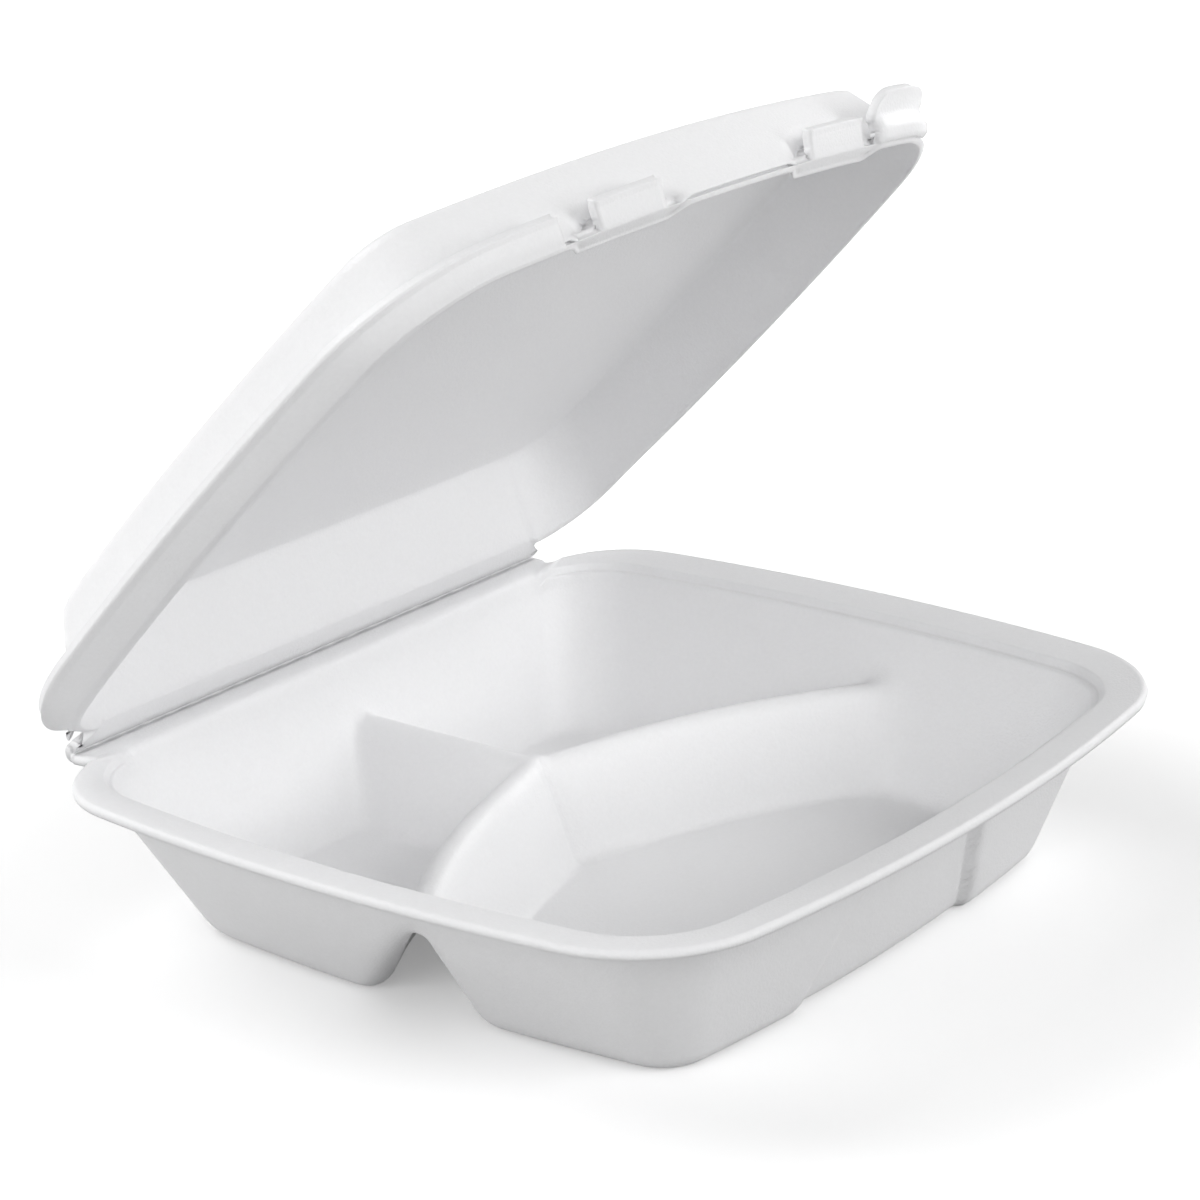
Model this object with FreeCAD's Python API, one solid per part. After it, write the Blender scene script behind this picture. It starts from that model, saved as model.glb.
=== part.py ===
"""Hinged foam meal tray: a three-compartment base and a lid that folds over it along one edge.

Millimetres. +Z is up and the feet stand on z = 0. X runs along the fold, the fold is on the +Y side and the
lid's locks are on the -Y side. Every wall is one moulded sheet, so each is an outer solid less an inner one.
The lid is built shut over the base and then opened to the angle at which it rests.
"""
import FreeCAD, Part
import math
import os

V = FreeCAD.Vector

# Sheet and heights of the base
sheet = 2.4                 # thickness of the moulded foam sheet
rim_height = 45.7           # outer edge of the base's rim above the feet
step_drop = 1.2             # the rim's top falls by this much from its edge to the step
seat_drop = 3.4             # the narrow seat inside the step lies this far below the rim's edge
fold_height = 45.0          # the fold line
fold_gap = 0.3              # space between the two hinge strips when the lid is shut

# Plan of the base
half_width = 119.5          # middle of a side
front_reach = 115.0         # middle of the front
lobe_reach = 89.0           # back edge of the rim's corners, beside the hinge strip
strip_reach = 8.5           # the fold line lies this far behind the rim's corners
strip_setback = 26.5        # the hinge strip ends this far short of the base's sides
notch_radius = 3.0          # rounded notch between the strip's end and the rim's corner
notch_aside = 0.8           # its centre, past the strip's end and behind the rim's corner
notch_behind = 2.6
front_bow = 12.9            # how far the front edge bows out over its width
side_bow = 11.5             # how far each side bows out over its length
front_corner = 38.0         # corner radii of the rim
back_corner = 22.0

# Rim and walls of the base, with insets from the rim's edge
step_inset = 10.8           # top edge of the step
step_run = 1.5              # how far the step leans
rim_chamfer = 0.4           # the rim's edge leans out by this much from its foot
seat_overrun = 3.0          # the seat is cut this far past the compartments' edge
seat_inset = 14.0           # edge of the compartments at the seat
back_inset = 1.0            # and at the back, from the rim's corners
side_run = 21.0             # how far a side wall leans inwards on its way down to the floor
front_run = 14.6
back_run = 15.0
floor_corner = 17.0         # corner radii of the compartments
cavity_corner = 20.0
wall_lean = 24.0            # mean lean of the walls in degrees
foot_fillet = 4.0           # outside radius round the feet
floor_fillet = 3.0          # inside radius round the compartment floors
mouth_fillet = 7.0          # radius where a ridge runs into a wall, seen from above
foot_mouth_fillet = 4.0     # and seen from below

# Divider ridges between the compartments
ridge_height = 29.0         # top of the ridges above the feet
ridge_half = 4.2            # radius of a ridge's rounded top
ridge_draft = 22.0          # lean of a ridge's faces in degrees
junction_y = 20.5           # where the three ridges meet, on x = 0
ridge_overrun = 0.5         # the side ridges end this far past the compartments' edge at the seat
ridge_end_y = -29.0
ridge_bow = 9.5             # bow of a side ridge over its length

# Panel pressed into the front wall
panel_depth = 2.2
panel_top_half = 24.0
panel_bottom_half = 37.0
panel_top = 36.5

# Locks at the front: slots through the base's wall, tabs and finger pockets on the lid
lock_offset = 37.5          # centre of each lock from x = 0
slot_half = 15.5
slot_height = 3.8
slot_cover = 1.0            # foam left between a slot and the seat above it
pocket_radius = 24.0        # dome pressed into the lid's wall behind each tab
pocket_sink = 11.0          # its centre lies this far below the fold line
pocket_depth = 3.2
pocket_round = 0.6          # share of the sheet by which a pocket grows on the lid's inner face

# Lid when shut, with heights above the fold line and insets from the lip's edge
side_overhang = 0.5         # the lip stands this far past the base's rim at the sides
front_setback = 4.5         # and this far short of it along the front
lid_height = 26.0           # outside of the top panel
lid_side_run = 7.2          # how far a wall leans inwards on its way up
lid_front_run = 10.9
lid_back_run = 15.0
lid_wall_inset = 9.8        # foot of the lid's wall, outside
lid_wall_front = 3.1        # and along the front
lid_wall_behind = 2.6       # back wall at its foot, outside, behind the base's compartments
lid_lobe = 5.0              # the lip's rear corners reach this far behind the rim's
lid_clearance = 1.1         # the shut lid's rim lies this far above the step in the base's rim
lid_corner_extra = 3.0      # the lip's front corners are rounder than the rim's by this much
panel_corner = 16.0         # corner radius of the top panel
panel_fillet = 7.0          # outside radius round the top panel
gutter_inset = 8.4          # the lip rises from here
gutter_height = 1.2
lip_bend_inset = 5.0
lip_bend_height = 2.8
lip_turn_inset = 2.8
lip_turn_height = 5.6
lip_edge_height = 7.2
lip_sheet = 2.2             # the lip is a little thinner than the walls
open_angle = 45.0           # the lid's angle from shut as it stands

# Cuts in the lip along the front. The left lip ends before the left tab, a thumb tab stands right of the right
# tab, and the right lip starts again behind the corner
tab_half = 11.5             # half the width of a lock tab
lip_end_gap = 12.5          # between the left lip and the left tab
thumb_gap = 6.0             # between the right tab and the thumb tab
thumb_width = 26.0
thumb_foot_front = 2.3      # inset of the thumb tab's foot
thumb_bend_front = 0.4      # the thumb tab turns upwards here
thumb_turn_height = 7.6     # and outwards here
thumb_reach = 4.2           # how far its edge stands past the lip's
thumb_height = 11.0
lip_restart = 27.0          # distance of the right lip's new start behind the front of the lip
cut_inset = 8.0             # the cuts reach in to here, and leave a bare rim

seat_height = rim_height - seat_drop
step_height = rim_height - step_drop
wall_across = sheet / math.cos(math.radians(wall_lean))
cavity_back = lobe_reach - back_inset
fold_reach = lobe_reach + strip_reach
hinge_half = half_width - strip_setback
strip_top = fold_height - fold_gap / 2
ridge_end_x = half_width - seat_inset + ridge_overrun
ridge_foot = ridge_half + ridge_height * math.tan(math.radians(ridge_draft))
lid_half_width = half_width + side_overhang
lid_front_reach = front_reach - front_setback
lid_wall_back = cavity_back + lid_wall_behind
lid_low = step_height + lid_clearance - fold_height
lid_front_corner = front_corner + lid_corner_extra
lip_front_share = lid_wall_front / lid_wall_inset
merge = 0.1                 # solids that are joined run into each other by this much
clear = 20.0                # overrun of cutting solids
far = 400.0                 # past the whole tray in any direction


def arc(start, middle, end):
    return Part.Arc(start, middle, end).toShape()


def bulge(centre, a, b, radius):
    """Middle of the arc from a to b round a centre."""
    return centre + ((a - centre) + (b - centre)).normalize() * radius


def box(low, high):
    size = V(*high) - V(*low)
    return Part.makeBox(size.x, size.y, size.z, V(*low))


def flat(points):
    loop = [V(*p) for p in points]
    return Part.Face(Part.makePolygon(loop + [loop[0]]))


def both_sides(shape):
    return [shape, shape.mirror(V(0, 0, 0), V(1, 0, 0))]


def bow_radius(half, bow):
    return (half ** 2 + bow ** 2) / (2 * bow)


def outline(z, half, front, back, corner, rear_corner):
    """Closed plan outline at height z: bowed front and sides, four round corners and a straight back."""
    front_radius = bow_radius(half, front_bow * (half / half_width) ** 2)
    side_radius = bow_radius(front, side_bow * (front / front_reach) ** 2)
    front_centre = V(0, front_radius - front, 0)
    side_centre = V(half - side_radius, 0, 0)

    # The front corner's circle lies inside both bows
    near = front_radius - corner
    far = side_radius - corner
    between = side_centre - front_centre
    along = (near ** 2 - far ** 2 + between.Length ** 2) / (2 * between.Length)
    aside = math.sqrt(near ** 2 - along ** 2)
    unit = between.normalize()
    centre = front_centre + unit * along + V(-unit.y, unit.x, 0) * aside
    front_touch = front_centre + (centre - front_centre) * (front_radius / near)
    side_touch = side_centre + (centre - side_centre) * (side_radius / far)

    # The rear corner's circle lies inside the side's bow and the back line
    rear_y = back - rear_corner
    rear_x = side_centre.x + math.sqrt((side_radius - rear_corner) ** 2 - rear_y ** 2)
    rear = V(rear_x, rear_y, 0)
    side_end = side_centre + (rear - side_centre) * (side_radius / (side_radius - rear_corner))
    back_touch = V(rear_x, back, 0)

    runs = [(front_touch, bulge(centre, front_touch, side_touch, corner), side_touch),
            (side_touch, V(half, 0, 0), side_end),
            (side_end, bulge(rear, side_end, back_touch, rear_corner), back_touch)]
    lift = V(0, 0, z)
    right = [arc(*[p + lift for p in run]) for run in runs]
    left = [arc(*[V(-p.x, p.y, z) for p in reversed(run)]) for run in reversed(runs)]
    back_line = Part.makeLine(back_touch + lift, V(-back_touch.x, back, z))
    front_arc = arc(V(-front_touch.x, front_touch.y, z), V(0, -front, z), front_touch + lift)
    return Part.Wire(right + [back_line] + left + [front_arc])


def stack(outlines):
    """Solid through outlines laid one above the other."""
    return Part.makeLoft(outlines, True, True)


def edges_within(shape, low, high):
    room = FreeCAD.BoundBox(*low, *high)
    return [e for e in shape.Edges if room.isInside(e.BoundBox)]


def pressed(solid, outline_prism, depth):
    """The solid with the stretch of its front inside the prism pushed back by depth."""
    behind = solid.copy()
    behind.translate(V(0, depth, 0))
    return solid.cut(solid.common(outline_prism).cut(behind))


# Base

def rim_outline(z, inset):
    share = inset / seat_inset
    back = lobe_reach + (cavity_back - lobe_reach) * share
    return outline(z, half_width - inset, front_reach - inset, back, front_corner - inset,
                   back_corner + (cavity_corner - back_corner) * share)


def wall_outline(z, grow):
    """Outline of the compartments' common wall at height z, moved out by grow."""
    down = (seat_height - z) / (seat_height - sheet)
    corner = (front_corner - seat_inset) * (1 - down) + floor_corner * down
    return outline(z, half_width - seat_inset - side_run * down + grow,
                   front_reach - seat_inset - front_run * down + grow,
                   cavity_back - back_run * down + grow, corner + grow, cavity_corner + grow)


def ridge_face(place, across, inside):
    """Section of a ridge at a place: two leaning faces under a round top, moved in by inside."""
    lean = math.radians(ridge_draft)
    radius = ridge_half - inside
    top = ridge_height - inside
    shoulder = top - radius + radius * math.sin(lean)
    reach = radius * math.cos(lean)
    foot = reach + (shoulder + clear) * math.tan(lean)
    corners = [place + across * side + V(0, 0, z)
               for side, z in ((-foot, -clear), (-reach, shoulder), (reach, shoulder), (foot, -clear))]
    crown = arc(corners[1], place + V(0, 0, top), corners[2])
    return Part.Face(Part.Wire([Part.makeLine(corners[0], corners[1]), crown,
                                Part.makeLine(corners[2], corners[3]), Part.makeLine(corners[3], corners[0])]))


def ridges(inside):
    """Three ridges from one junction: to the hinge side and, as mirrored arcs, to the two side walls."""
    junction = V(0, junction_y, 0)
    chord = V(ridge_end_x, ridge_end_y, 0) - junction
    radius = bow_radius(chord.Length / 2, ridge_bow)
    normal = V(chord.y, -chord.x, 0).normalize()
    centre = junction + chord * 0.5 + normal * (radius - ridge_bow)
    spoke = (junction - centre).normalize()
    turn = 2 * math.degrees(math.asin(chord.Length / 2 / radius))
    side = ridge_face(junction, spoke, inside).revolve(centre, V(0, 0, 1), -turn)
    to_hinge = ridge_face(junction, V(1, 0, 0), inside).extrude(V(0, cavity_back + clear - junction_y, 0))
    return to_hinge.fuse(both_sides(side))


def mouth_edges(shape, top):
    """Edges where the ridges run into the side walls and the hinge wall, apart from the floor's."""
    room = 2 * ridge_foot
    low_y = ridge_end_y - room
    high_y = ridge_end_y + room
    edges = edges_within(shape, (ridge_end_x - room, low_y, -1), (far, high_y, top))
    edges += edges_within(shape, (-far, low_y, -1), (room - ridge_end_x, high_y, top))
    edges += edges_within(shape, (-room, cavity_back - back_run - 2 * floor_fillet, -1), (room, far, top))
    return [e for e in edges if e.BoundBox.ZMax > sheet + merge]


def bottom_edges(shape, height):
    return edges_within(shape, (-far, -far, height - merge), (far, far, height + merge))


def front_panel():
    """Prism through the front wall with the panel's outline."""
    outside = -front_reach - clear
    corners = [(-panel_bottom_half, outside, -1), (-panel_top_half, outside, panel_top),
               (panel_top_half, outside, panel_top), (panel_bottom_half, outside, -1)]
    return flat(corners).extrude(V(0, 3 * clear, 0))


def notches():
    """Cylinders that cut the round notches at the ends of the hinge strip."""
    place = V(hinge_half + notch_aside, lobe_reach + notch_behind, fold_height - clear)
    return both_sides(Part.makeCylinder(notch_radius, 2 * clear, place))


def slots():
    top = seat_height - slot_cover
    low = (lock_offset - slot_half, -front_reach, top - slot_height)
    return both_sides(box(low, (lock_offset + slot_half, -front_reach + seat_inset + clear, top)))


def tub():
    """Outside of the compartments, with channels pressed up under the ridges."""
    walls = stack([wall_outline(0, wall_across), wall_outline(strip_top - sheet + merge, wall_across)])
    walls = walls.makeFillet(foot_fillet, bottom_edges(walls, 0))
    feet = walls.cut(ridges(sheet))
    return feet.makeFillet(foot_mouth_fillet, mouth_edges(feet, ridge_height))


def hollow():
    """Space inside the compartments."""
    space = stack([wall_outline(sheet, 0), wall_outline(rim_height + clear, 0)]).cut(ridges(0))
    space = space.makeFillet(mouth_fillet, mouth_edges(space, ridge_height + 1))
    return space.makeFillet(floor_fillet, bottom_edges(space, sheet))


def base_rim():
    """Rim with its step and seat, and the base's half of the hinge strip in place of its back edge."""
    flange = stack([rim_outline(seat_height - sheet, seat_inset - wall_across),
                    rim_outline(step_height - sheet, step_inset - step_run),
                    rim_outline(rim_height - sheet, rim_chamfer), rim_outline(rim_height, 0)])
    over_flange = stack([rim_outline(seat_height, seat_inset + seat_overrun),
                         rim_outline(seat_height + merge, step_inset + step_run),
                         rim_outline(step_height, step_inset), rim_outline(rim_height, 0),
                         rim_outline(rim_height + clear, 0)])
    strip = box((-hinge_half, cavity_back - sheet, strip_top - sheet),
                (hinge_half, fold_reach - fold_gap / 2, strip_top))
    over_half = hinge_half + notch_aside
    over_strip = box((-over_half, cavity_back - 2 * sheet, strip_top), (over_half, fold_reach, far))
    return flange.fuse(strip).cut(over_flange).cut(over_strip)


def base_tray():
    panel = front_panel()
    body = pressed(tub(), panel, panel_depth).fuse(base_rim()).cut(pressed(hollow(), panel, panel_depth))
    return body.cut(slots() + notches())


# Lid

def lid_outline(height, side_inset, front_inset, back, corner):
    """Outline at a height above the fold line, with insets from the lip's edge."""
    return outline(fold_height + height, lid_half_width - side_inset, lid_front_reach - front_inset, back,
                   corner, back_corner)


def lid_shell(inside):
    """The domed part of the lid, moved in by inside, standing on the rim's lowest line."""
    foot = lid_wall_inset + inside
    front = lid_wall_front + inside
    wall = stack([lid_outline(lid_low - inside, foot, front, lid_wall_back - inside, lid_front_corner - foot),
                  lid_outline(lid_height - inside, foot + lid_side_run, front + lid_front_run,
                              lid_wall_back - inside - lid_back_run, panel_corner - inside)])
    return wall.makeFillet(panel_fillet - inside, bottom_edges(wall, fold_height + lid_height - inside))


def finger_pockets(inside):
    """Round-topped stretches of the lid's front, behind the two tabs."""
    place = V(lock_offset, -lid_front_reach, fold_height - pocket_sink)
    return Part.makeCompound(both_sides(Part.makeCylinder(pocket_radius + inside, 2 * clear, place, V(0, 1, 0))))


def moved_line(line, distance):
    """A line of (inset, height) points moved sideways, towards greater height, by distance."""
    moved = []
    for number, (inset, height) in enumerate(line):
        before = line[max(number - 1, 0)]
        after = line[min(number + 1, len(line) - 1)]
        run = V(before[0] - after[0], after[1] - before[1], 0).normalize()
        moved.append((inset + run.y * distance, height + run.x * distance))
    return moved


def lip_outline(inset, height):
    """Outline of the lip, which is narrower along the front than at the sides."""
    back = lobe_reach + lid_lobe * (1 - inset / lid_wall_inset) + merge * height
    return lid_outline(height, inset, inset * lip_front_share, back, lid_front_corner - inset)


def lip_stack(line):
    """Solid inside the lip's outlines through a line of (inset, height) points."""
    return stack([lip_outline(inset, height) for inset, height in line])


def lip():
    """Rim of the lid: a gutter that turns up and flares outwards, cut away between the tabs."""
    under = [(lid_wall_inset, lid_low), (gutter_inset, gutter_height), (lip_bend_inset, lip_bend_height),
             (lip_turn_inset, lip_turn_height), (0, lip_edge_height)]
    above = moved_line(under, lip_sheet)
    band = lip_stack(under + above[-1:]).cut(lip_stack(above + [(above[-1][0], clear)]))
    kept = stack([lip_outline(cut_inset, -clear), lip_outline(cut_inset, clear)])
    tab_outside = lock_offset + tab_half
    tab_inside = lock_offset - tab_half
    spans = [(-tab_outside - lip_end_gap, -tab_outside), (-tab_inside, tab_inside),
             (tab_outside, tab_outside + thumb_gap + thumb_width)]
    cuts = [box((left, -far, -far), (right, -front_reach / 2, far)) for left, right in spans]
    cuts.append(box((spans[-1][1] - merge, -far, -far), (far, lip_restart - lid_front_reach, far)))
    return band.cut([c.cut(kept) for c in cuts])


def thumb_tab():
    """Tongue that stands up and out from the lip beside the right lock tab."""
    under = [(thumb_foot_front, gutter_height), (thumb_bend_front, lip_bend_height),
             (thumb_bend_front, thumb_turn_height), (-thumb_reach, thumb_height)]
    loop = under + moved_line(under, lip_sheet)[::-1]
    radius = bow_radius(lid_half_width, front_bow * (lid_half_width / half_width) ** 2)
    left = lock_offset + tab_half + thumb_gap
    first, last = [math.degrees(math.asin(x / radius)) for x in (left, left + thumb_width)]
    section = flat([(0, inset - lid_front_reach, fold_height + height) for inset, height in loop])
    axis = V(0, radius - lid_front_reach, 0)
    section.rotate(axis, V(0, 0, 1), first)
    return section.revolve(axis, V(0, 0, 1), last - first)


def lid_shut():
    outside = pressed(lid_shell(0), finger_pockets(0), pocket_depth)
    inside = pressed(lid_shell(sheet), finger_pockets(sheet * pocket_round), pocket_depth)
    strip_low = fold_height + fold_gap / 2
    strip = box((-hinge_half, cavity_back, strip_low), (hinge_half, fold_reach - fold_gap / 2, strip_low + sheet))
    under_strip = box((-hinge_half, cavity_back - 2 * sheet, -far), (hinge_half, far, strip_low))
    return lip().fuse([outside, strip, thumb_tab()]).cut([inside, under_strip] + notches())


def lid():
    opened = lid_shut()
    opened.rotate(V(0, fold_reach, fold_height), V(1, 0, 0), -open_angle)
    return opened


os.makedirs("parts", exist_ok=True)
for name, piece in (("base_tray", base_tray()), ("lid", lid())):
    piece.removeSplitter().exportStep(os.path.join("parts", name + ".step"))
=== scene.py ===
import bmesh
import bpy
import math
import numpy as np
from mathutils import Matrix, Vector


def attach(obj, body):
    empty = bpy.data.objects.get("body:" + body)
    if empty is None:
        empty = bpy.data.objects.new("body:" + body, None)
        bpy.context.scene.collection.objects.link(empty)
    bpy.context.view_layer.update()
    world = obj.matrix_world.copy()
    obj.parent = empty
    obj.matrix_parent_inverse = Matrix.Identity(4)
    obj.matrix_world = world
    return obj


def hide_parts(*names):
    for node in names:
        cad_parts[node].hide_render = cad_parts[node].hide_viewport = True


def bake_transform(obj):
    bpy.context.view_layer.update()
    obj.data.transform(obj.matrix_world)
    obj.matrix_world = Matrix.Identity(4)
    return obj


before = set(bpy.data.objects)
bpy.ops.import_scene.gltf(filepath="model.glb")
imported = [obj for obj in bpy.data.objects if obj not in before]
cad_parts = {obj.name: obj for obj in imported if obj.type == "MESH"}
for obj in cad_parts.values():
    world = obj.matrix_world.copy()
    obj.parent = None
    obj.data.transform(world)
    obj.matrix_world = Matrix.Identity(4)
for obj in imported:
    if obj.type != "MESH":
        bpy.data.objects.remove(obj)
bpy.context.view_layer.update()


# Base. One sheet of white foam, pressed hot in a mould and cut out: a rim with a step down to a narrow seat,
# leaning walls, three compartments between round ridges, and a panel pressed into the front wall. Sizes are
# in millimetres.

MM = 0.001
SHEET = 2.4


def srgb(code):
    """Scene colour of a hex colour."""
    parts = [int(code[i:i + 2], 16) / 255 for i in (0, 2, 4)]
    return [p / 12.92 if p <= 0.04045 else ((p + 0.055) / 1.055) ** 2.4 for p in parts] + [1.0]


def add_node(tree, kind, settings=None, **links):
    """One node with its settings, and each named input set to a value or linked to another node's output."""
    node = tree.nodes.new(kind)
    for name, value in (settings or {}).items():
        setattr(node, name, value)
    for name, value in links.items():
        socket = node.inputs[name.replace("_", " ")]
        if isinstance(value, bpy.types.NodeSocket):
            tree.links.new(value, socket)
        else:
            socket.default_value = value
    return node


def pressed_foam(cell, wave):
    """Expanded polystyrene, heated and pressed: white and satin. Its closed cells, cell across, show as a
    fine grain, it keeps slow waves where it stretched over the mould, and a little light passes into it."""
    material = bpy.data.materials.new("pressed_polystyrene_foam")
    material.use_nodes = True
    tree = material.node_tree
    shader = tree.nodes["Principled BSDF"]
    place = add_node(tree, "ShaderNodeTexCoord").outputs["Object"]
    cells = add_node(tree, "ShaderNodeTexVoronoi", Vector=place, Scale=1 / cell)
    slow = add_node(tree, "ShaderNodeTexNoise", Vector=place, Scale=1 / wave, Detail=3.0)
    grain = add_node(tree, "ShaderNodeTexNoise", Vector=place, Scale=0.6 / cell, Detail=2.0)
    tint = add_node(tree, "ShaderNodeMapRange", Value=grain.outputs["Fac"], To_Min=0.955, To_Max=1.0)
    base = add_node(tree, "ShaderNodeHueSaturation", Value=tint.outputs["Result"], Color=srgb("f2f2f3"))
    tree.links.new(base.outputs["Color"], shader.inputs["Base Color"])
    rough = add_node(tree, "ShaderNodeMapRange", Value=cells.outputs["Distance"], To_Min=0.34, To_Max=0.56)
    tree.links.new(rough.outputs["Result"], shader.inputs["Roughness"])
    waves = add_node(tree, "ShaderNodeBump", Height=slow.outputs["Fac"], Strength=0.3, Distance=0.001)
    bump = add_node(tree, "ShaderNodeBump", Height=cells.outputs["Distance"], Normal=waves.outputs["Normal"],
                    Strength=0.35, Distance=cell * 0.25)
    tree.links.new(bump.outputs["Normal"], shader.inputs["Normal"])
    shader.inputs["Subsurface Weight"].default_value = 0.2
    shader.inputs["Subsurface Radius"].default_value = (1.0, 1.0, 1.0)
    shader.inputs["Subsurface Scale"].default_value = 0.004
    return material


foam = pressed_foam(cell=0.7 * MM, wave=35.0 * MM)


# Every outline has bowed front and sides, round corners and a straight back. All have the same columns, so a
# column of points runs from the rim down to the middle of the floor
HALF_WIDTH, FRONT = 119.5, 115.0
FRONT_BOW, SIDE_BOW = 12.9, 11.5
FRONT_STOPS = [0, 22, 26, 34, 49, 53, 58, 61.5, 64, 76, 80]
FRONT_STEP = 1.5
CORNER_COLUMNS, SIDE_COLUMNS, REAR_COLUMNS, NOTCH_COLUMNS, BACK_COLUMNS = 26, 74, 16, 9, 40
REAR_SHARE = 0.82
WALL_REAR_CORNER = 20.0


def front_shares():
    """Places of the columns along half the front, as shares of it, with one on each stop."""
    places = [0.0]
    for a, b in zip(FRONT_STOPS, FRONT_STOPS[1:]):
        parts = max(1, round((b - a) / FRONT_STEP))
        places += [a + (b - a) * (k + 1) / parts for k in range(parts)]
    return np.array(places) / FRONT_STOPS[-1]


def swing(centre, radius, start, end, shares):
    """Points on a circle, at shares of the way from one angle to another."""
    angle = start + (end - start) * shares
    return np.stack([centre[0] + radius * np.cos(angle), centre[1] + radius * np.sin(angle)], axis=1)


def toward(a, b):
    return math.atan2(b[1] - a[1], b[0] - a[0])


def bow_radius(half, bow):
    return (half ** 2 + bow ** 2) / (2 * bow)


def counted(number):
    """Shares from the first step to 1, in a number of equal steps."""
    return np.arange(1, number + 1) / number


def half_outline(half, front, back, corner, rear_corner):
    """Right half of an outline, from the middle of the front to the middle of the back, as columns x 2."""
    front_radius = bow_radius(half, FRONT_BOW * (half / HALF_WIDTH) ** 2)
    side_radius = bow_radius(front, SIDE_BOW * (front / FRONT) ** 2)
    front_centre = np.array([0, front_radius - front])
    side_centre = np.array([half - side_radius, 0])

    # The front corner's circle touches both bows from inside
    near, far = front_radius - corner, side_radius - corner
    between = side_centre - front_centre
    apart = np.linalg.norm(between)
    along = (near ** 2 - far ** 2 + apart ** 2) / (2 * apart)
    aside = math.sqrt(near ** 2 - along ** 2)
    direction = between / apart
    centre = front_centre + direction * along + np.array([-direction[1], direction[0]]) * aside

    # The rear corner's circle touches the side's bow and the back line
    rear_y = back - rear_corner
    rear = np.array([side_centre[0] + math.sqrt((side_radius - rear_corner) ** 2 - rear_y ** 2), rear_y])

    x = front_shares() * (front_centre[0] + (centre - front_centre)[0] * front_radius / near)
    front_part = np.stack([x, front_centre[1] - np.sqrt(front_radius ** 2 - x ** 2)], axis=1)
    corner_part = swing(centre, corner, toward(front_centre, centre), toward(side_centre, centre),
                        counted(CORNER_COLUMNS))
    side_part = swing(side_centre, side_radius, toward(side_centre, centre), toward(side_centre, rear),
                      counted(SIDE_COLUMNS))
    rear_shares = np.concatenate([counted(REAR_COLUMNS) * REAR_SHARE,
                                  REAR_SHARE + (1 - REAR_SHARE) * counted(NOTCH_COLUMNS)])
    rear_part = swing(rear, rear_corner, toward(side_centre, rear), math.pi / 2, rear_shares)
    back_part = np.stack([rear[0] * (1 - counted(BACK_COLUMNS)), np.full(BACK_COLUMNS, back)], axis=1)
    return np.concatenate([front_part, corner_part, side_part, rear_part, back_part])


def whole(right):
    """Both halves of an outline, or of a row of column values that are alike on both sides."""
    left = right[-2:0:-1].copy()
    if left.ndim == 2:
        left[:, 0] *= -1
    return np.concatenate([right, left])


# The back of a rim is the hinge strip, and a round notch parts it from each rear corner
HINGE_HALF, FOLD_Y, FOLD_Z = 93.0, 97.5, 45.0
LOBE_BACK = 89.0
STRIP_GAP = 0.15
NOTCH = [(95.2, 88.7), (93.4, 88.4), (91.6, 88.8), (90.8, 90.0), (90.9, 91.4), (91.9, 92.5), (92.8, 93.8),
         (93.0, 95.6), (93.0, FOLD_Y - STRIP_GAP)]


def rim_with_strip(right):
    """Outer edge of a rim with the strip and notches in its back, and each column's share in the strip."""
    edge = right.copy()
    first = len(right) - BACK_COLUMNS - NOTCH_COLUMNS
    notch = slice(first, first + NOTCH_COLUMNS)
    strip = slice(first + NOTCH_COLUMNS, None)
    edge[notch] = NOTCH
    edge[notch, 1] += (right[-1, 1] - LOBE_BACK) * np.linspace(1, 0, NOTCH_COLUMNS)
    edge[strip, 0] = HINGE_HALF * (1 - counted(BACK_COLUMNS))
    edge[strip, 1] = FOLD_Y - STRIP_GAP
    share = np.zeros(len(right))
    share[notch] = np.clip((np.arange(NOTCH_COLUMNS) - 1) / 4, 0, 1)
    share[strip] = 1
    return edge, share


def spread(outer, inner, rim_line, strip_line, share):
    """Rings from a rim's edge to a ring inside it. Lines hold (share of the way in, height) row by row."""
    mix = rim_line[:, None] * (1 - share[None, :, None]) + strip_line[:, None] * share[None, :, None]
    plan = outer[None] + (inner - outer)[None] * mix[..., :1]
    return np.concatenate([plan, mix[..., 1:]], axis=2)


def unit(v):
    return v / np.maximum(np.linalg.norm(v, axis=-1, keepdims=True), 1e-9)


def profile(corners, radii, step):
    """Points along a line of corners whose inner corners are rounded, no further apart than step."""
    corners = np.array(corners, float)
    line = [corners[0]]
    for a, b, c, radius in zip(corners, corners[1:], corners[2:], radii):
        to_a, to_c = unit(a - b), unit(c - b)
        half_turn = math.acos(np.clip(to_a @ to_c, -1, 1)) / 2
        back = min(radius / math.tan(half_turn), 0.48 * min(np.linalg.norm(a - b), np.linalg.norm(c - b)))
        for t in np.linspace(0, 1, 6):
            line.append(b + to_a * back * (1 - t) ** 2 + to_c * back * t ** 2)
    line.append(corners[-1])
    out = [line[0]]
    for a, b in zip(line, line[1:]):
        parts = max(1, math.ceil(np.linalg.norm(b - a) / step))
        out += [a + (b - a) * (k + 1) / parts for k in range(parts) if np.linalg.norm(b - a) > 1e-6]
    return np.array(out)


def resampled(line, count):
    """A line of (place, height) points with the given number of rows, evenly spaced along it."""
    along = np.concatenate([[0], np.cumsum(np.linalg.norm(np.diff(line, axis=0), axis=1))])
    places = np.linspace(0, along[-1], count)
    return np.stack([np.interp(places, along, line[:, k]) for k in range(2)], axis=1)


def smooth_max(a, b, reach):
    """The higher of two surfaces, with a round inside corner of the given reach where they meet."""
    near = np.clip(reach - np.abs(a - b), 0, None) / reach
    return np.maximum(a, b) + near ** 2 * reach / 4


def soft_step(value):
    """0 below 0, 1 above 1, and a smooth rise between."""
    value = np.clip(value, 0, 1)
    return value * value * (3 - 2 * value)


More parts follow.
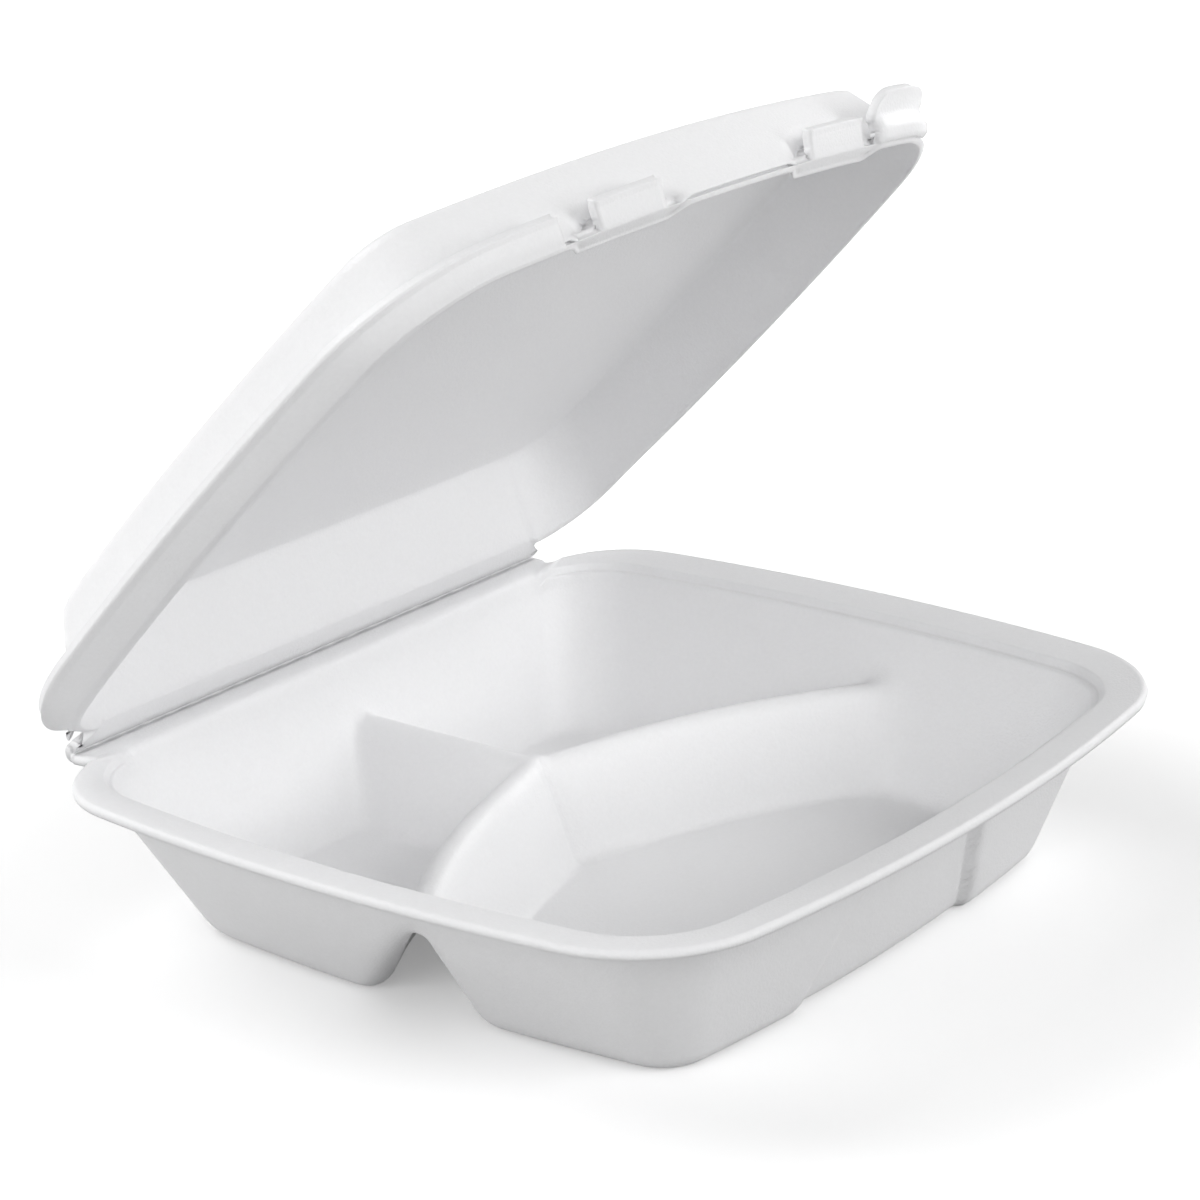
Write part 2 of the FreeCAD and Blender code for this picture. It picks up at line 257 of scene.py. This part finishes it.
# Rim and walls. The compartments' common wall runs from the seat down to the floor
RIM_Z, SEAT_Z = 45.7, 42.3
RIM_CORNER, RIM_REAR_CORNER = 38.0, 27.0
STEP_INSET, STEP_END, SEAT_INSET, WALL_INSET = 10.8, 12.3, 14.0, 16.0
STEP_DROP = 1.2
SIDE_RUN, FRONT_RUN, BACK_RUN = 21.0, 14.6, 15.0
CAVITY_FRONT, CAVITY_BACK = 101.0, 88.0
WALL_CORNER, FLOOR_CORNER = 24.0, 11.0
FLOOR_ROUND = 3.2
FIRST_WALL_RING = 37.2
FLOOR_MIDDLE = np.array([0.0, -4.0])

# Ridges: one runs back from the junction, and two run out to the sides as arcs that meet in a point
RIDGE_TOP, RIDGE_RADIUS, RIDGE_LEAN = 29.0, 4.2, math.radians(22)
JUNCTION = np.array([0.0, 20.5])
RIDGE_END = np.array([106.0, -29.0])
RIDGE_BOW = 9.0
CUSP, CUSP_RUN = 3.2, 11.0
JUNCTION_ROUND, CREST_ROUND, FOOT_ROUND = 3.0, 7.0, 15.0


def wall_plan(down):
    """Right half of the compartments' wall, at a share of the way from the seat down to the floor."""
    return half_outline(HALF_WIDTH - SEAT_INSET - SIDE_RUN * down, CAVITY_FRONT - FRONT_RUN * down,
                        CAVITY_BACK - BACK_RUN * down, WALL_CORNER - (WALL_CORNER - FLOOR_CORNER) * down,
                        WALL_REAR_CORNER)


def ridge_height(distance):
    """Height of a ridge's face at a distance from its middle line."""
    reach = RIDGE_RADIUS * math.cos(RIDGE_LEAN)
    shoulder = RIDGE_TOP - RIDGE_RADIUS + RIDGE_RADIUS * math.sin(RIDGE_LEAN)
    round_top = RIDGE_TOP - RIDGE_RADIUS + np.sqrt(np.clip(RIDGE_RADIUS ** 2 - distance ** 2, 0, None))
    return np.where(distance < reach, round_top, shoulder - (distance - reach) / math.tan(RIDGE_LEAN))


def ridge_surface(x, y):
    """Height of the three ridges over the plan."""
    side = np.abs(x)
    along = y - CUSP * np.exp(-side / CUSP_RUN)
    chord = RIDGE_END - JUNCTION
    length = np.linalg.norm(chord)
    radius = bow_radius(length / 2, RIDGE_BOW)
    normal = np.array([chord[1], -chord[0]]) / length
    centre = (JUNCTION + RIDGE_END) / 2 + normal * (radius - RIDGE_BOW)
    start = JUNCTION - centre
    from_start = np.arctan2(start[1], start[0]) - np.arctan2(along - centre[1], side - centre[0])
    on_arc = np.abs(np.hypot(side - centre[0], along - centre[1]) - radius)
    to_junction = np.hypot(side, along - JUNCTION[1])
    arm = ridge_height(np.where(from_start >= 0, on_arc, to_junction))
    back = ridge_height(np.where(y > JUNCTION[1], side, to_junction))
    return smooth_max(arm, back, JUNCTION_ROUND)


def base_rings():
    """The base's upper face as rings from the rim to the middle of the floor."""
    rim_edge, share = rim_with_strip(half_outline(HALF_WIDTH, FRONT, LOBE_BACK, RIM_CORNER, RIM_REAR_CORNER))
    wall_top = (WALL_INSET - SEAT_INSET) / SIDE_RUN
    wall_z = SEAT_Z - (SEAT_Z - SHEET) * wall_top
    rim_line = profile([(0, RIM_Z), (STEP_INSET, RIM_Z - STEP_DROP), (STEP_END, SEAT_Z + 0.15),
                        (SEAT_INSET, SEAT_Z), (WALL_INSET, wall_z)], [1.2, 1.0, 1.8], 1.3)
    rim_line[:, 0] /= WALL_INSET
    run = FOLD_Y - STRIP_GAP - (CAVITY_BACK - BACK_RUN * wall_top)
    strip_z = FOLD_Z - STRIP_GAP
    strip_line = profile([(0, strip_z - 0.3), (4, strip_z), (run - 1.75, strip_z - 0.1), (run, wall_z)],
                         [8, 3], 1.0)
    strip_line[:, 0] /= run
    rim = spread(whole(rim_edge), whole(wall_plan(wall_top)), rim_line, resampled(strip_line, len(rim_line)),
                 whole(share))

    # Walls, and then the floor, over which the walls' faces run on downwards
    heights = np.linspace(FIRST_WALL_RING, SHEET, 25)
    plans = [whole(wall_plan((SEAT_Z - z) / (SEAT_Z - SHEET))) for z in heights]
    levels = [np.full(len(plans[0]), z) for z in heights]
    floor_edge = plans[-1]
    slope = (levels[-2] - levels[-1]) / np.linalg.norm(plans[-2] - floor_edge, axis=1)
    near_edge = [1 - k for k in (0.012, 0.025, 0.04, 0.055, 0.07, 0.09)]
    for share_out in near_edge + list(np.linspace(0.89, 0.02, 46)):
        plan = FLOOR_MIDDLE + (floor_edge - FLOOR_MIDDLE) * share_out
        plans.append(plan)
        levels.append(SHEET - slope * np.linalg.norm(plan - floor_edge, axis=1))
    plans = np.stack(plans)
    ridge = ridge_surface(plans[..., 0], plans[..., 1])
    below_crest = soft_step((RIDGE_TOP - ridge) / (RIDGE_TOP - SHEET))
    height = smooth_max(np.stack(levels), ridge, CREST_ROUND + (FOOT_ROUND - CREST_ROUND) * below_crest)
    height = smooth_max(height, np.full_like(height, SHEET), FLOOR_ROUND)
    return np.concatenate([rim, np.concatenate([plans, height[..., None]], axis=2)])


PANEL_BOTTOM_HALF, PANEL_TOP_HALF = 37.5, 24.0
PANEL_TOP, PANEL_RISE = 37.0, 34.0
PANEL_DEPTH = 2.4
PANEL_SIDE_EDGE, PANEL_TOP_EDGE = 1.6, 3.0


def press_panel(rings):
    """Pushes the trapezoid panel back into the front wall."""
    x, y, z = rings[..., 0], rings[..., 1], rings[..., 2]
    reach = PANEL_BOTTOM_HALF - (PANEL_BOTTOM_HALF - PANEL_TOP_HALF) * (z - SHEET) / PANEL_RISE
    side = soft_step((reach - np.abs(x)) / PANEL_SIDE_EDGE + 0.5)
    top = soft_step((PANEL_TOP - z) / PANEL_TOP_EDGE)
    near_wall = soft_step((-62 - y) / 12)
    rings[..., 1] += PANEL_DEPTH * side * top * near_wall


def foam_object(name, points, faces):
    """Object from points in mm, with loose points taken out and all faces turned outwards."""
    mesh = bpy.data.meshes.new(name)
    mesh.from_pydata((np.array(points) * MM).tolist(), [], faces)
    mesh.validate()
    work = bmesh.new()
    work.from_mesh(mesh)
    bmesh.ops.delete(work, geom=[v for v in work.verts if not v.link_faces], context="VERTS")
    bmesh.ops.recalc_face_normals(work, faces=work.faces)
    work.to_mesh(mesh)
    work.free()
    mesh.shade_smooth()
    mesh.materials.append(foam)
    piece = bpy.data.objects.new(name, mesh)
    bpy.context.collection.objects.link(piece)
    return piece


EDGE_ROUND = 0.22


def sheet_piece(name, rings, kept, thickness):
    """Closed foam sheet. Rings of points are one face of it, kept says which cells between them are foam, and
    the other face lies behind by the thickness."""
    rows, columns, _ = rings.shape
    across = np.roll(rings, -1, axis=1) - np.roll(rings, 1, axis=1)
    down = np.gradient(rings, axis=0)
    normal = unit(np.cross(across, down))
    behind = rings - normal * thickness
    count = rows * columns
    index = np.arange(count).reshape(rows, columns)
    following = np.roll(index, -1, axis=1)
    cells = np.stack([index[:-1], following[:-1], following[1:], index[1:]], axis=-1)
    front = cells[kept]
    faces = front.tolist() + (front[:, ::-1] + count).tolist()
    points = [rings.reshape(-1, 3), behind.reshape(-1, 3),
              [rings[-1].mean(axis=0)], [behind[-1].mean(axis=0)]]
    middle = 2 * count
    faces += [[index[-1, j], following[-1, j], middle] for j in range(columns)]
    faces += [[following[-1, j] + count, index[-1, j] + count, middle + 1] for j in range(columns)]

    # Cut edges are rounded a little: each gets one more line of points that stands out between the two faces
    cut = []
    for r, j in zip(*np.nonzero(kept)):
        after, before = (j + 1) % columns, (j - 1) % columns
        sides = (((r == 0 or not kept[r - 1, j]), 1, 0), (not kept[r, before], 0, 3),
                 (r < rows - 2 and not kept[r + 1, j], 3, 2), (not kept[r, after], 2, 1))
        cut += [(cells[r, j][a], cells[r, j][b]) for is_open, a, b in sides if is_open]
    near_face, far_face, turned = points[0], points[1], normal.reshape(-1, 3)
    out = {}
    for a, b in cut:
        push = unit(np.cross(near_face[a] - near_face[b], turned[a]))
        out[a] = out.get(a, 0) + push
        out[b] = out.get(b, 0) + push
    edge = {}
    for number, (a, push) in enumerate(out.items()):
        edge[a] = middle + 2 + number
        points.append([(near_face[a] + far_face[a]) / 2 + unit(push) * thickness * EDGE_ROUND])
    for a, b in cut:
        faces.append([a, b, edge[b], edge[a]])
        faces.append([edge[a], edge[b], b + count, a + count])
    return foam_object(name, np.concatenate(points), faces)


base_grid = base_rings()
press_panel(base_grid)
base_kept = np.ones((base_grid.shape[0] - 1, base_grid.shape[1]), bool)
base_piece = sheet_piece("base_foam", base_grid, base_kept, SHEET)
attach(base_piece, "base")
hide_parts("base_tray")


# Lid. The same foam sheet, domed: a flat top panel, a steep wall, and a lip that turns up and flares out.
# Along the front the lip is cut into two lock tabs and a thumb tab, with a finger pocket pressed in behind
# each lock tab. It is laid out shut, with heights above the fold line, and then opened.

LID_HALF, LID_FRONT, LID_LOBE = 120.0, 110.5, 92.5
LIP_CORNER, LIP_REAR_CORNER = 41.0, 32.0
LIP_SIDE, LIP_FRONT = 12.0, 6.0
LIP_FALL, FALL_FROM, FALL_RUN = 0.45, 55.0, 35.0
GUTTER_INSET = 8.2
STRIP_RISE = 3.4
LID_SIDE_RUN, LID_FRONT_RUN, LID_BACK_RUN = 7.1, 9.9, 14.9
LID_WALL_BACK = 88.4
LID_WALL_CORNER, PANEL_CORNER = 29.0, 14.0
LID_INSIDE = 23.6
PANEL_ROUND = 7.0
PANEL_MIDDLE = np.array([0.0, -10.0, LID_INSIDE])
OPEN_ANGLE = math.radians(45)


def lid_plan(inwards):
    """Right half of the lid's wall, at a share of the way from its foot up to the top panel."""
    corner = LID_WALL_CORNER - (LID_WALL_CORNER - PANEL_CORNER) * min(inwards, 1)
    return half_outline(LID_HALF - LIP_SIDE - LID_SIDE_RUN * inwards,
                        LID_FRONT - LIP_FRONT - LID_FRONT_RUN * inwards,
                        LID_WALL_BACK - LID_BACK_RUN * inwards, corner, WALL_REAR_CORNER)


def lid_rings():
    """The lid's inner face as rings from the lip to the middle of the panel, and the ring where cuts end."""
    lip_edge, share = rim_with_strip(half_outline(LID_HALF, LID_FRONT, LID_LOBE, LIP_CORNER, LIP_REAR_CORNER))
    lip_line = profile([(0, 7.5), (2.6, 6.3), (5.4, 4.0), (8.8, 1.4), (10.4, 1.0), (LIP_SIDE, 0.9)],
                       [0.8, 2.2, 2, 1.0], 1.0)
    gutter = int(np.argmin(np.abs(lip_line[:, 0] - GUTTER_INSET)))
    lip_line[:, 0] /= LIP_SIDE
    across_strip = np.linspace(0, 1, len(lip_line))
    strip_line = np.stack([across_strip, STRIP_GAP + STRIP_RISE * across_strip ** 2], axis=1)
    lip = spread(whole(lip_edge), whole(lid_plan(0)), lip_line, strip_line, whole(share))
    lip[..., 2] *= 1 - LIP_FALL * soft_step((lip[..., 1] - FALL_FROM) / FALL_RUN)

    rings = [lip]
    foot = lip[-1, :, 2]
    for inwards, height in profile([(0, 0), (1, LID_INSIDE), (2.3, LID_INSIDE)], [PANEL_ROUND], 1.2)[1:]:
        rise = foot + (LID_INSIDE - foot) * height / LID_INSIDE
        rings.append(np.concatenate([whole(lid_plan(inwards)), rise[:, None]], axis=1)[None])
    panel_edge = rings[-1][0]
    rings += [(PANEL_MIDDLE + (panel_edge - PANEL_MIDDLE) * s)[None] for s in np.linspace(0.97, 0.02, 40)]
    return np.concatenate(rings), gutter


# Cuts along the front, from the left: the left lip's end, two lock tabs, the thumb tab, and the right lip's
# new start round the corner. They lie in front of FRONT_LIMIT
FRONT_LIMIT = -60.0
LEFT_LIP_END = -61.5
LEFT_TAB, RIGHT_TAB, THUMB_TAB = (-49.0, -26.0), (34.0, 58.0), (64.0, 89.0)
LIP_RESTART = -83.5

# Finger pockets, round-topped, with centres below the fold line
POCKET_RADIUS, POCKET_SINK, POCKET_DEPTH = 24.5, 11.0, 4.0
POCKET_EDGE = 5.0

# The thumb tab stands up from its foot and flares outwards at its end, as (distance outwards, height)
THUMB_LINE = [(0, 0.9), (2.4, 1.6), (3.9, 3.4), (4.1, 7.6)]
THUMB_FLARE, THUMB_RISE = 5.0, 3.4


def press_pockets(rings, gutter):
    """Pushes the two finger pockets into the front wall, behind the lock tabs."""
    x, y, height = rings[..., 0], rings[..., 1], rings[..., 2]
    from_tab = np.minimum(np.abs(x - sum(LEFT_TAB) / 2), np.abs(x - sum(RIGHT_TAB) / 2))
    from_centre = np.hypot(from_tab, np.clip(height, 0, None) + POCKET_SINK)
    dome = soft_step((POCKET_RADIUS - from_centre) / POCKET_EDGE)
    front = soft_step((-75 - y) / 15)
    past_lip = soft_step((np.arange(rings.shape[0]) - gutter) / 5.0)[:, None]
    rings[..., 1] += POCKET_DEPTH * dome * front * past_lip


def raise_thumb_tab(rings, gutter):
    """Turns the lip between the thumb tab's two cuts into a taller tongue with a round, flaring end."""
    foot = rings[gutter]
    near, far = THUMB_TAB
    columns = np.nonzero((foot[:, 0] > near - 0.2) & (foot[:, 0] < far + 0.2) & (foot[:, 1] < 0))[0]
    for j in columns:
        out = unit(rings[0, j, :2] - foot[j, :2])
        across = (foot[j, 0] - (near + far) / 2) / ((far - near) / 2)
        roundness = math.sqrt(max(0.0, 1 - abs(across) ** 4.5))
        turn_out, turn_height = THUMB_LINE[-1]
        end = (turn_out + THUMB_FLARE * roundness, turn_height + THUMB_RISE * roundness + 0.01)
        line = resampled(profile(THUMB_LINE + [end], [1, 1.5, 1.5], 0.6), gutter + 1)[::-1]
        rings[:gutter, j, :2] = foot[j, :2] + out * line[:gutter, :1]
        rings[:gutter, j, 2] = line[:gutter, 1]


def opened(rings):
    """Points of the shut lid carried to the angle at which it stands."""
    y, height = rings[..., 1] - FOLD_Y, rings[..., 2]
    c, s = math.cos(OPEN_ANGLE), math.sin(OPEN_ANGLE)
    return np.stack([rings[..., 0], FOLD_Y + y * c + height * s, FOLD_Z - y * s + height * c], axis=-1)


lid_grid, gutter_row = lid_rings()
press_pockets(lid_grid, gutter_row)
raise_thumb_tab(lid_grid, gutter_row)
gutter_x, gutter_y, _ = ((lid_grid[gutter_row] + np.roll(lid_grid[gutter_row], -1, axis=0)) / 2).T
gone = (gutter_y < FRONT_LIMIT) & (gutter_x > LEFT_LIP_END)
gone &= (gutter_x < THUMB_TAB[0]) | (gutter_y < LIP_RESTART)
for tab_start, tab_end in (LEFT_TAB, RIGHT_TAB, THUMB_TAB):
    gone &= (gutter_x < tab_start) | (gutter_x > tab_end)
lid_kept = np.ones((lid_grid.shape[0] - 1, lid_grid.shape[1]), bool)
lid_kept[:gutter_row, gone] = False
lid_piece = sheet_piece("lid_foam", opened(lid_grid), lid_kept, -SHEET)
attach(lid_piece, "lid")
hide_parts("lid")


# Hinge. The sheet runs on from the base to the lid round the fold, and a row of short dents pressed along
# the inside of the fold lets it bend. It is built already bent round the fold, from the base's strip to the
# lid's.

WEB_INNER, WEB_OUTER = 0.22, 2.5
DASH_PITCH, DASH_DEPTH = 8.7, 0.55
DASH_SHAPE = ((0, 0), (0.14, 0), (0.18, 1), (0.80, 1), (0.84, 0), (1, 0))
WEB_ANGLES = np.linspace(math.radians(-94), math.radians(49), 13)  # from the base's strip to the lid's


def hinge_web():
    """Web round the fold: one ring of points at each end of each dent, over the strip's whole width."""
    count = int(2 * HINGE_HALF / DASH_PITCH)
    pitch = 2 * HINGE_HALF / count
    stations = [(k * pitch - HINGE_HALF + share * pitch, depth)
                for k in range(count) for share, depth in DASH_SHAPE if not (k and share == 0)]
    points, faces = [], []
    for x, depth in stations:
        for radius in (WEB_INNER + DASH_DEPTH * depth, WEB_OUTER):
            points += [(x, FOLD_Y + radius * math.cos(a), FOLD_Z + radius * math.sin(a)) for a in WEB_ANGLES]
    half_ring = len(WEB_ANGLES)
    ring = 2 * half_ring
    loop = list(range(half_ring)) + list(range(ring - 1, half_ring - 1, -1))
    for k in range(len(stations) - 1):
        for a, b in zip(loop, loop[1:] + loop[:1]):
            faces.append((k * ring + a, k * ring + b, (k + 1) * ring + b, (k + 1) * ring + a))
    faces.append(tuple(loop[::-1]))
    faces.append(tuple(ring * (len(stations) - 1) + a for a in loop))
    return foam_object("hinge_web", points, faces)


web = hinge_web()
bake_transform(web)


# Floor and backdrop. One wide white studio sheet lies under the container. The camera sees it and the room
# as plain white, and it keeps the container's soft shadow.

FLOOR_REACH = 3.0
SHADOW_REACH, SHADOW_END = 0.16, 0.5


def shown(tree, plain, for_camera, output):
    """Sends one shader to the camera, also by way of gloss or glass, and the other to all other rays."""
    path = add_node(tree, "ShaderNodeLightPath")
    direct = add_node(tree, "ShaderNodeMath", {"operation": "MAXIMUM"})
    tree.links.new(path.outputs["Is Camera Ray"], direct.inputs[0])
    tree.links.new(path.outputs["Is Glossy Ray"], direct.inputs[1])
    seen = add_node(tree, "ShaderNodeMath", {"operation": "MAXIMUM"})
    tree.links.new(direct.outputs[0], seen.inputs[0])
    tree.links.new(path.outputs["Is Transmission Ray"], seen.inputs[1])
    mix = add_node(tree, "ShaderNodeMixShader", Fac=seen.outputs[0])
    tree.links.new(plain.outputs[0], mix.inputs[1])
    tree.links.new(for_camera.outputs[0], mix.inputs[2])
    tree.links.new(mix.outputs[0], output.inputs["Surface"])


# Paper. Its own glow grows with the distance from the container, so that only the shadow near it shows
paper = bpy.data.materials.new("white_studio_sheet")
paper.use_nodes = True
tree = paper.node_tree
tree.nodes.remove(tree.nodes["Principled BSDF"])
dim = add_node(tree, "ShaderNodeBsdfDiffuse", Color=srgb("b0b0b0"))
pale = add_node(tree, "ShaderNodeBsdfDiffuse", Color=srgb("f4f4f4"))
away = add_node(tree, "ShaderNodeVectorMath", {"operation": "LENGTH"},
                Vector=add_node(tree, "ShaderNodeTexCoord").outputs["Object"])
fade = add_node(tree, "ShaderNodeMapRange", Value=away.outputs["Value"], From_Min=SHADOW_REACH,
                From_Max=SHADOW_END, To_Min=0.25, To_Max=1.0)
glow = add_node(tree, "ShaderNodeEmission", Color=srgb("ffffff"), Strength=fade.outputs["Result"])
lit = add_node(tree, "ShaderNodeAddShader")
tree.links.new(pale.outputs[0], lit.inputs[0])
tree.links.new(glow.outputs[0], lit.inputs[1])
shown(tree, dim, lit, tree.nodes["Material Output"])

floor_mesh = bpy.data.meshes.new("floor")
corners = ((-1, -1), (1, -1), (1, 1), (-1, 1))
floor_mesh.from_pydata([(x * FLOOR_REACH, y * FLOOR_REACH, 0) for x, y in corners], [], [(0, 1, 2, 3)])
floor_mesh.materials.append(paper)
floor = bpy.data.objects.new("floor", floor_mesh)
bpy.context.collection.objects.link(floor)

world = bpy.data.worlds.new("light_tent")
bpy.context.scene.world = world
world.use_nodes = True
dim_room = world.node_tree.nodes["Background"]
dim_room.inputs["Color"].default_value = srgb("ffffff")
dim_room.inputs["Strength"].default_value = 0.02
white_room = add_node(world.node_tree, "ShaderNodeBackground", Color=srgb("ffffff"), Strength=1.0)
shown(world.node_tree, dim_room, white_room, world.node_tree.nodes["World Output"])


# Light. Five soft boxes, a metre wide, stand round the table as in a small product studio, all turned to the
# container.

def soft_box(name, place, power):
    data = bpy.data.lights.new(name, "AREA")
    data.shape = "SQUARE"
    data.size = 1.0
    data.energy = power
    box = bpy.data.objects.new(name, data)
    bpy.context.collection.objects.link(box)
    box.location = place
    box.rotation_euler = (Vector((0, 0, 0.06)) - Vector(place)).to_track_quat("-Z", "Y").to_euler()


soft_box("left_box", (-1.4, 0.1, 0.5), 10.3)
soft_box("camera_side_box", (-0.9, -1.0, 0.9), 3.0)
soft_box("front_box", (0.3, -1.4, 0.7), 14.0)
soft_box("right_box", (1.4, -0.2, 0.8), 9.5)
soft_box("rear_box", (-0.3, 1.0, 1.1), 13.0)


# Camera. It looks from the left of the front, a little above the lid's lip, through a long lens.

AZIMUTH, ELEVATION, ROLL = math.radians(-51.44), math.radians(19.29), math.radians(-1.82)
back = Vector((math.sin(AZIMUTH) * math.cos(ELEVATION), -math.cos(AZIMUTH) * math.cos(ELEVATION),
               math.sin(ELEVATION)))
level = Vector((math.cos(AZIMUTH), math.sin(AZIMUTH), 0))
upright = back.cross(level)
right = level * math.cos(ROLL) + upright * math.sin(ROLL)
up = upright * math.cos(ROLL) - level * math.sin(ROLL)
camera_data = bpy.data.cameras.new("camera")
camera_data.sensor_width = 36.0
camera_data.lens = 108.15
camera = bpy.data.objects.new("camera", camera_data)
bpy.context.collection.objects.link(camera)
turned = Matrix((right, up, back)).transposed().to_4x4()
camera.matrix_world = Matrix.Translation((-0.6739, -0.5381, 0.3794)) @ turned
bpy.context.scene.camera = camera
bpy.context.scene.view_settings.view_transform = "Standard"
